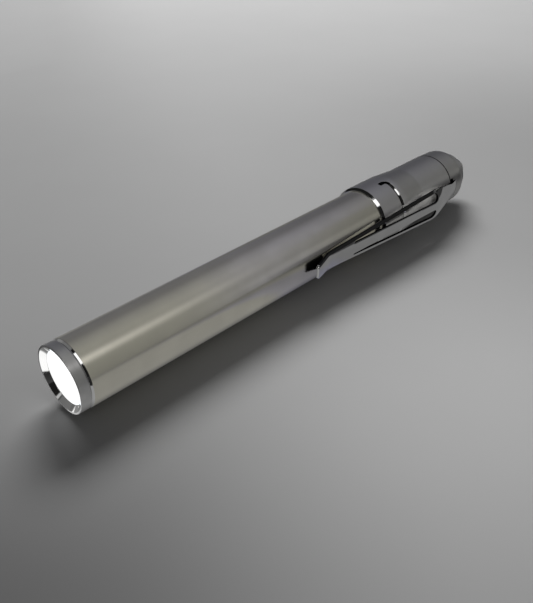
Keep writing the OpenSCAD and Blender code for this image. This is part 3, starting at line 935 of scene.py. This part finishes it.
edge_slope = (SHOULDER_HALF - NOSE_HALF) / (SHOULDER_S - NOSE_S)
slot_end = SHOULDER_S - SLOT_BACK
slot_s = slot_end - SLOT_LENGTH
rear_out = SHOULDER_HALF - RAIL - edge_slope * SLOT_BACK
front_out = rear_out - edge_slope * SLOT_LENGTH
rear_round = (rear_out - BAR_HALF) * SLOT_REAR_SHARE
half_slot = [
    (front_out - RAIL / 2, slot_s, SLOT_TIP_ROUND),
    (front_out, slot_s, SLOT_TIP_ROUND),
    (rear_out, slot_end, rear_round),
    (BAR_HALF, slot_end, rear_round),
]
clip_slots = [rounded(half_slot), rounded(flipped(half_slot))]
print(f"clip from {TIP_S:.1f} to {ROOT_S:.1f} mm, slots {SLOT_LENGTH:.1f} mm long")

# %% Fill the outline
GRID = 0.45
CLEAR = 0.6 * GRID


def walked(loop, step):
    """A closed loop with extra points, so that no stretch is longer than the step."""
    out = []
    for i, (a, b) in enumerate(loop):
        a2, b2 = loop[(i + 1) % len(loop)]
        count = max(1, math.ceil(math.hypot(a2 - a, b2 - b) / step))
        out += [(a + (a2 - a) * k / count, b + (b2 - b) * k / count) for k in range(count)]
    return out


def inside(loop, a, b):
    """True if the point lies inside the closed loop."""
    odd = False
    for i, (a1, b1) in enumerate(loop):
        a2, b2 = loop[(i + 1) % len(loop)]
        if (b1 > b) != (b2 > b) and a < a1 + (a2 - a1) * (b - b1) / (b2 - b1):
            odd = not odd
    return odd


def on_sheet(a, b):
    """True if the point lies on the sheet and in neither slot."""
    return inside(clip_outline, a, b) and not any(inside(slot, a, b) for slot in clip_slots)


loops = [walked(loop, GRID) for loop in (clip_outline, *clip_slots)]
rim_points = [point for loop in loops for point in loop]
rim_edges = []
for loop in loops:
    start = len(rim_edges)
    rim_edges += [(start + k, start + (k + 1) % len(loop)) for k in range(len(loop))]
rows = math.ceil((ROOT_S - TIP_S) / GRID)
columns = math.ceil(SHOULDER_HALF / GRID)
grid_points = [
    (column * GRID, TIP_S + row * GRID)
    for row in range(rows) for column in range(-columns, columns + 1)
]
clear_points = [
    (a, b) for a, b in grid_points
    if on_sheet(a, b) and min(math.hypot(a - c, b - d) for c, d in rim_points) > CLEAR
]
flat_points, _, flat_faces, *_ = delaunay_2d_cdt(
    [Vector(point) for point in rim_points + clear_points], rim_edges, [], 1, 1e-6
)
flat_faces = [
    face for face in flat_faces
    if on_sheet(*(sum((flat_points[i] for i in face), Vector((0, 0))) / 3))
]
print("flat clip triangles:", len(flat_faces))

# %% Bend the sheet
NOSE_GAP, TIP_KICK, SHOULDER_RISE, ROOT_SINK = 0.18, 1.65, 2.5, 0.18
NOSE_R = BARREL_R + NOSE_GAP + SHEET
bent = rounded([
    (TIP_S, NOSE_R + TIP_KICK, 0),
    (NOSE_S, NOSE_R, 3),
    (SHOULDER_S, NECK_R + SHOULDER_RISE, 14),
    (ROOT_S, NECK_R - ROOT_SINK, 0),
], closed=False)


def outer_r(s):
    """Radius of the bent sheet's outer face."""
    for (s1, r1), (s2, r2) in zip(bent, bent[1:]):
        if s <= s2:
            return r1 + (r2 - r1) * (s - s1) / (s2 - s1)
    return bent[-1][1]


bm = bmesh.new()
lifted = [
    bm.verts.new(place(s, outer_r(s), math.asin(across / outer_r(s)))) for across, s in flat_points
]
for face in flat_faces:
    bm.faces.new([lifted[i] for i in face])
bmesh.ops.recalc_face_normals(bm, faces=bm.faces)
bm.normal_update()
if sum(face.normal.y for face in bm.faces) > 0:
    bmesh.ops.reverse_faces(bm, faces=bm.faces)
clip_mesh = bpy.data.meshes.new("clip_sheet")
bm.to_mesh(clip_mesh)
bm.free()
clip_mesh.shade_smooth()
clip = bpy.data.objects.new("spring_clip", clip_mesh)
scene.collection.objects.link(clip)
print("bent sheet points:", len(clip_mesh.vertices))

# %% Painted shade line along the clip
LINE_SOFT = 0.04
LINE_FADE = 2.0


def painted_shade_line(tree, at):
    """1 along the clip's upper edge, as wide as a rail, up to the shoulder: the painted shade line.
    """
    s, _, across = tree.in_mm(at)
    past = across - edge_slope * (s - slot_s)
    rail_shade_mask = tree.within(past, front_out - LINE_SOFT, front_out + LINE_SOFT)
    return rail_shade_mask * tree.within(s, slot_end, slot_end - LINE_FADE)


# The clip's steel carries the painted shade line along its upper rail.
CLIP_STEEL_AND_SHADE_LINE = steel(
    "satin_clip_steel", (0.70, 0.70, 0.695), roughness=0.09, rings=0.1, painted=painted_shade_line
)
for material in (CLIP_STEEL_AND_SHADE_LINE, PAINTED_SHADE_FINISH, BLASTED, POLISHED, GLOWING_BAR_BACK):
    clip_mesh.materials.append(material)
EDGE, BACK, BARE_EDGE, GLOWING_BACK_OF_BAR = 1, 2, 3, 4
print("clip finishes:", len(clip_mesh.materials))

# %% Thickness and broken edges
EDGE_BREAK = 0.09
STAMPED = math.radians(50)

thickness = clip.modifiers.new("sheet", "SOLIDIFY")
thickness.thickness = SHEET * MM
thickness.offset = -1
thickness.use_even_offset = True
thickness.material_offset = BACK
# The stamped cut faces and their bevels take the black finish: painted shade.
thickness.material_offset_rim = EDGE
broken = clip.modifiers.new("edges", "BEVEL")
broken.width = EDGE_BREAK * MM
broken.segments = 3
broken.limit_method = "ANGLE"
broken.angle_limit = STAMPED
broken.material = EDGE
straight = clip.modifiers.new("normals", "WEIGHTED_NORMAL")
straight.weight = 100
graph = bpy.context.evaluated_depsgraph_get()
solid_mesh = bpy.data.meshes.new_from_object(clip.evaluated_get(graph))
clip.modifiers.clear()
clip.data = solid_mesh
solid_mesh.set_sharp_from_angle(angle=SHARP)
print("clip triangles:", sum(len(face.vertices) - 2 for face in solid_mesh.polygons))

# %% Finish the tip and the back of the clip
PAINTED_SHADE_BAND = (CAP_S - 1.6, CAP_S + 0.6)
BAR_END = slot_end + 2.5

# The tip's cut edges stay bare steel. The underside at the nose and over the collar's front is
# painted black, painted shade that the barrel mirrors as a dark gap; the back of the bar takes the
# painted glow.
for face in solid_mesh.polygons:
    s = (face.center.x - FRONT) / MM
    across = abs(face.center.z - AXIS_Z) / MM
    slot_side = front_out - RAIL / 2 + edge_slope * (s - slot_s)
    if face.material_index == EDGE and s < TIP_S + SHEET:
        face.material_index = BARE_EDGE
    elif face.material_index == BACK and (s < NOSE_S - 1 or PAINTED_SHADE_BAND[0] < s < PAINTED_SHADE_BAND[1]):
        face.material_index = EDGE
    elif face.material_index == BACK and slot_s < s < BAR_END and across < slot_side:
        face.material_index = GLOWING_BACK_OF_BAR
dress(clip, "clip", "clip_steel", "pocket_clip")

# %% [markdown]
# ## Finishes for what is inside
#
# Boards, cells, seals and the switch keep their CAD shapes, which are right, and get plain workshop
# finishes: a moulded plastic with a fine grain, rubber, brass, faintly mottled laminate, and the
# mirror of the bowl. A small table says which node gets which.

# %% Inner finishes
BLACK_PLASTIC = grained("black_moulded_plastic", (0.025, 0.025, 0.027), 0.45, 4000.0, 0.3)
WHITE_PLASTIC = grained("white_moulded_plastic", (0.78, 0.77, 0.74), 0.4, 4000.0, 0.2)
RUBBER = grained("seal_rubber", (0.02, 0.02, 0.02), 0.6, 6000.0, 0.4)
BRASS = grained("turned_brass", (0.78, 0.57, 0.27), 0.25, 5000.0, 0.1, Metallic=1.0)
ALUMINIUM = grained("heat_sink_aluminium", (0.72, 0.73, 0.74), 0.35, 5000.0, 0.2, Metallic=1.0)
LAMINATE = grained("board_laminate", (0.05, 0.16, 0.08), 0.4, 3000.0, 0.2)
MIRROR = grained("reflector_mirror", (0.92, 0.92, 0.92), 0.06, 900.0, 0.05, Metallic=1.0)
CELL_CAN = grained("cell_sleeve", (0.07, 0.09, 0.10), 0.3, 700.0, 0.05)
PHOSPHOR = grained("emitter_phosphor", (0.85, 0.75, 0.30), 0.3, 5000.0, 0.1)

INNER = {
    "lens_gasket": RUBBER, "tail_seal": RUBBER, "button_seal": RUBBER,
    "reflector": MIRROR, "led_emitter": PHOSPHOR, "led_holder": ALUMINIUM,
    "led_board": LAMINATE, "driver_board": LAMINATE, "switch_board": LAMINATE,
    "contact_post": BRASS, "switch_pins": BRASS, "switch_contact": BRASS, "retaining_ring": BRASS,
    "contact_guard": BLACK_PLASTIC, "cell_liner": BLACK_PLASTIC, "switch_housing": BLACK_PLASTIC,
    "switch_cover": BLACK_PLASTIC, "switch_rotor": WHITE_PLASTIC, "switch_plunger": WHITE_PLASTIC,
    "front_cell": CELL_CAN, "rear_cell": CELL_CAN,
}
for node, material in INNER.items():
    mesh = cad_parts[node].data
    mesh.materials.clear()
    mesh.materials.append(material)
print("inner nodes dressed:", len(INNER))

# %% [markdown]
# ## Table and light
#
# The light lies on a plain grey table under one long soft lamp, high up on the far side, so its
# shadow falls towards the camera. The table's colour also carries painted light: it is painted
# dimmer at the near left, with a painted pool of light on the near side and painted shade past the
# tail. Away from the light the table evens out and fades into the backdrop, so no view shows where
# it ends. A polished or satin tube shows its surroundings more than it shows lamps. So mirror-like
# rays see a table of their own, a painted reflection: pale beside the tube, dark in the crack under
# it, white where the lit lens stands close to it and black further ahead. The lamp's own light and
# shadow stay on the table that the camera sees. Places on it are millimetres from its middle:
# `table_x` towards the tail, `table_y` away from the camera.

# %% Table
FLOOR_HALF = 3.0
FLOOR_COLOUR = 0.40
BACKDROP = 0.42

floor_mesh = bpy.data.meshes.new("table_top")
floor_corners = [(-1, -1), (1, -1), (1, 1), (-1, 1)]
floor_mesh.from_pydata(
    [(x * FLOOR_HALF, y * FLOOR_HALF, 0) for x, y in floor_corners], [], [(0, 1, 2, 3)]
)
table, table_tree, table_sockets = finish("grey_table", Roughness=0.7, Emission_Strength=1.0)
table_at = table_tree.node("ShaderNodeTexCoord", out="Object")
table_x, table_y, _ = table_tree.in_mm(table_at)
is_mirrored = table_tree.node("ShaderNodeLightPath", out="Is Glossy Ray")
floor_mesh.materials.append(table)
floor = bpy.data.objects.new("table_top", floor_mesh)
scene.collection.objects.link(floor)
print("table", 2 * FLOOR_HALF, "m wide")

# %% Table as the camera sees it
LEFT_EDGE = (-85.0, 5.0)
NEAR_EDGE = (-131.0, -32.0)
FAR_EDGE = (20.0, 140.0)
DIM_TONE, LEFT_GAIN, NEAR_GAIN, SHARED_GAIN, FAR_LOSS = 0.36, 0.475, 0.487, 0.314, 0.03
# Each painted patch has a middle, how far it spreads and how much tone it adds: light where it
# adds, shade where it takes away.
PAINTED_LIGHT_PATCHES = (
    (Vector((-10, -64, 0)), 77.0, 0.37),
    (Vector((123, 0, 0)), 115.0, -0.15),
)
EVEN_TONE = 0.84
EVEN_FROM = (0.1, 0.2)

# Painted light in the table's colour: dimmer to the near left and a little towards the far
# distance.
away = table_x + table_y
from_left = table_tree.within(table_x - 0.6 * table_y, *LEFT_EDGE)
from_near = table_tree.within(away, *NEAR_EDGE)
painted_light_tone = DIM_TONE + LEFT_GAIN * from_left + NEAR_GAIN * from_near
painted_light_tone = painted_light_tone - SHARED_GAIN * from_left * from_near - FAR_LOSS * table_tree.within(away, *FAR_EDGE)
for spot, spread, change in PAINTED_LIGHT_PATCHES:
    gap = table_tree.node(
        "ShaderNodeVectorMath", {"operation": "DISTANCE"}, {0: table_at, 1: spot * MM}, out="Value"
    )
    painted_light_tone = painted_light_tone + change * table_tree.within(gap, spread * MM, 0.0)
reach = table_tree.node("ShaderNodeVectorMath", {"operation": "LENGTH"}, {0: table_at}, out="Value")
even = EVEN_TONE * table_tree.within(reach, *EVEN_FROM)
painted_light_tone = table_tree.node("ShaderNodeMath", {"operation": "MAXIMUM"}, {0: painted_light_tone, 1: even})
print("patches of light and shade:", len(PAINTED_LIGHT_PATCHES))

# %% Table far away
HAZE_FROM = (0.3, 0.6)
HAZE = BACKDROP - 0.03
MOTTLE = 0.04

far_off = table_tree.within(reach, *HAZE_FROM)
mottle = 1 - MOTTLE / 2 + MOTTLE * table_tree.noise(table_at, 40.0, 3.0)
matt = FLOOR_COLOUR * painted_light_tone * mottle * (1 - far_off)
as_grey = table_tree.colour(matt, matt, matt)
table_tree.plug(table_tree.mix(is_mirrored, as_grey, grey(0.0)), table_sockets["Base Color"])
is_seen = table_tree.node("ShaderNodeLightPath", out="Is Camera Ray")
haze = table_tree.mix(is_seen * far_off, grey(0.0), grey(HAZE))
print("table colour:", FLOOR_COLOUR, "fading to", round(HAZE, 2))

# %% Table as the metal sees it, beside the tube
CRACK, PALE = 0.05, 0.28

beside = abs(table_y)
pale = CRACK + PALE * table_tree.within(beside, 0.5, 8.0)
# It is dimmer far from the tube, on its far side and towards its tail.
for where, edge, loss in (
    (beside, (30.0, 130.0), 0.25),
    (table_y, (0.0, 20.0), 0.18),
    (table_x, (-20.0, 4.0), 0.37),
):
    pale = pale * (1 - loss * table_tree.within(where, *edge))
# Painted shade on the mirrored table before the clip, which the metal by the clip's nose shows as a
# dark gap.
before_clip = table_tree.within(table_x + 0.7 * table_y, -4.0, 0.0)
before_clip = before_clip * table_tree.within(table_y, -27.0, -31.0)
pale = pale * (1 - 0.9 * before_clip)
print("table beside the tube:", round(CRACK + PALE, 2))

# %% Table as the metal sees it, ahead of the lens
FRONT_TONE, FRONT_LOSS = 0.26, 0.13
COOLER = 0.2

ahead = FRONT / MM - table_x
lens_light = table_tree.within(ahead, 3.0, 4.5) * table_tree.band(table_y, (2.0, 3.5), (12.0, 10.0))
foot_light = table_tree.within(ahead, 4.0, 2.5) * table_tree.band(table_y, (-3.0, -1.5), (1.8, 0.8))
front = FRONT_TONE - FRONT_LOSS * table_tree.within(table_y, 10.0, 17.0)
front = front + lens_light + 0.6 * foot_light
in_front = table_tree.within(ahead, -0.5, 0.5) * table_tree.within(table_y, -6.0, -4.0)
far_ahead = table_tree.within(ahead, 14.5, 16.0) * table_tree.within(table_y, 26.0, 12.0)
shown = (pale + in_front * (front - pale)) * (1 - far_ahead)
cool_part = table_tree.band(table_x, (-14.0, -8.0), (14.0, 6.0))
mirrored = table_tree.colour(shown, shown, shown * (1 + COOLER * cool_part))
table_tree.plug(table_tree.mix(is_mirrored, haze, mirrored), table_sockets["Emission Color"])
print("table nodes:", len(table_tree.nodes))

# %% Lamp
LAMP_AT = Vector((0.32, 0.37, 0.46))
LAMP_LONG = 0.42
LAMP_WIDE = 0.26
LAMP_POWER = 4.9

lamp_data = bpy.data.lights.new("soft_lamp", "AREA")
lamp_data.shape = "ELLIPSE"
lamp_data.size = LAMP_LONG
lamp_data.size_y = LAMP_WIDE
lamp_data.energy = LAMP_POWER
lamp = bpy.data.objects.new("soft_lamp", lamp_data)
lamp.location = LAMP_AT
lamp.rotation_euler = (Vector((0.0, 0.0, 0.0)) - LAMP_AT).to_track_quat("-Z", "Y").to_euler()
lamp.visible_glossy = False
scene.collection.objects.link(lamp)
print("lamp at", [round(v, 2) for v in lamp.location])

# %% [markdown]
# ## The rest of the studio
#
# The world stands in for the walls and the ceiling: dim behind, brighter overhead and cooler
# half-way along, with one narrow strip in front that draws the long streak down the barrel. Past
# the head it is dark, so that the chamfers look black, but for two round windows of light that give
# them their white spots. Only mirror-like rays see these walls. Everything matt gets a plain dim
# fill. Two numbers say where on the walls a ray ends: `along` goes from -1 ahead of the head to 1
# behind the tail, and `overhead` from 0 level behind the light, over 0.5 straight up, to 1 level in
# front of it.

# %% Walls beside and overhead
STRIP_AT = 0.672
STRIP_HALF = 0.095
STRIP_LIGHT = (0.95, 0.935, 0.92, 1.0)

world = bpy.data.worlds.new("studio")
scene.world = world
studio = Tree(world)
way = studio.node("ShaderNodeTexCoord", out="Generated")
along, side, up = studio.split(way)
overhead = studio.node("ShaderNodeMath", {"operation": "ARCTAN2"}, {0: up, 1: side}) / math.pi
walls = studio.node("ShaderNodeValToRGB", {"stops": [
    (0.0, (0.17, 0.17, 0.19)),
    (0.22, (0.19, 0.19, 0.205)),
    (0.36, (0.30, 0.30, 0.305)),
    (0.50, (0.36, 0.36, 0.35)),
    (0.62, (0.34, 0.34, 0.33)),
    (0.80, (0.30, 0.30, 0.285)),
    (1.0, (0.26, 0.26, 0.25)),
]}, {"Fac": overhead})
strip = studio.within(abs(overhead - STRIP_AT), STRIP_HALF, 0.0) * studio.within(along, 0.62, 0.22)
lit = studio.mix(strip, walls, STRIP_LIGHT)
print("strip at", round(180 * STRIP_AT), "degrees over the back")

# %% Cool middle and dim tail end
COOL_TINT = (1.10, 1.10, 1.36, 1.0)
TAIL_FADE = 0.55
# Each patch has its edge overhead, its edge along and its brightness.
WALL_PATCHES = (
    ((0.78, 0.90), (0.50, 0.58), 1.2),
    ((0.84, 0.88), (0.62, 0.68), 0.85),
    ((0.93, 0.945), (0.60, 0.65), 0.06),
)

warm_again = studio.within(along, 0.63, 0.67) * studio.within(overhead, 0.56, 0.66)
cool = studio.band(along, (0.53, 0.57), (0.74, 0.70)) * (1 - warm_again)
cool = cool * (0.35 + 0.65 * studio.within(overhead, 0.15, 0.45))
fade = studio.mix(studio.within(along, 0.5, 0.8), grey(1.0), grey(TAIL_FADE))
for overhead_edge, along_edge, strength in WALL_PATCHES:
    patch = studio.within(overhead, *overhead_edge) * studio.within(along, *along_edge)
    fade = studio.mix(patch, fade, grey(strength))
tinted = studio.mix(cool, lit, COOL_TINT, "MULTIPLY")
long_wall = studio.mix(1.0, tinted, fade, "MULTIPLY")
print("wall patches:", len(WALL_PATCHES))

# %% Dark end with two windows
END_DARK = 0.012
WINDOW_LIGHT = 1.4
WINDOW_SOFT = 0.03
WINDOWS = (
    (Vector((-0.82, -0.05, 0.565)), math.radians(14.5)),
    (Vector((-0.68, -0.32, 0.65)), math.radians(10.0)),
)

end_tone = END_DARK
for centre, half in WINDOWS:
    facing = studio.node(
        "ShaderNodeVectorMath", {"operation": "DOT_PRODUCT"}, {0: way, 1: centre.normalized()},
        out="Value",
    )
    window = studio.within(facing, math.cos(half + WINDOW_SOFT), math.cos(half - WINDOW_SOFT))
    end_tone = end_tone + WINDOW_LIGHT * window
grey_wall = studio.within(up + along, 0.05, -0.05) * studio.within(side, 0.36, 0.42)
bright_edge = studio.within(up, 0.30, 0.22) * studio.band(side, (0.24, 0.28), (0.37, 0.33))
end_tone = end_tone + (0.17 + 0.06 * studio.within(side, 0.8, 0.9)) * grey_wall + 0.6 * bright_edge
end_wall = studio.colour(end_tone, end_tone, end_tone)
high_up = studio.within(overhead, 0.22, 0.32)
seen = studio.mix(studio.within(along + 0.3 * high_up, 0.12, -0.02), long_wall, end_wall)
print("windows:", len(WINDOWS))

# %% Who sees which walls
FILL = 0.145

to_camera = studio.node("ShaderNodeLightPath", out="Is Camera Ray")
to_metal = studio.node("ShaderNodeLightPath", out="Is Glossy Ray")
sky = studio.mix(to_metal, studio.mix(to_camera, grey(FILL), grey(BACKDROP)), seen)
light = studio.node("ShaderNodeBackground", {}, {"Color": sky, "Strength": 1.0})
studio.node("ShaderNodeOutputWorld", {}, {"Surface": light})
print("studio world nodes:", len(studio.nodes))
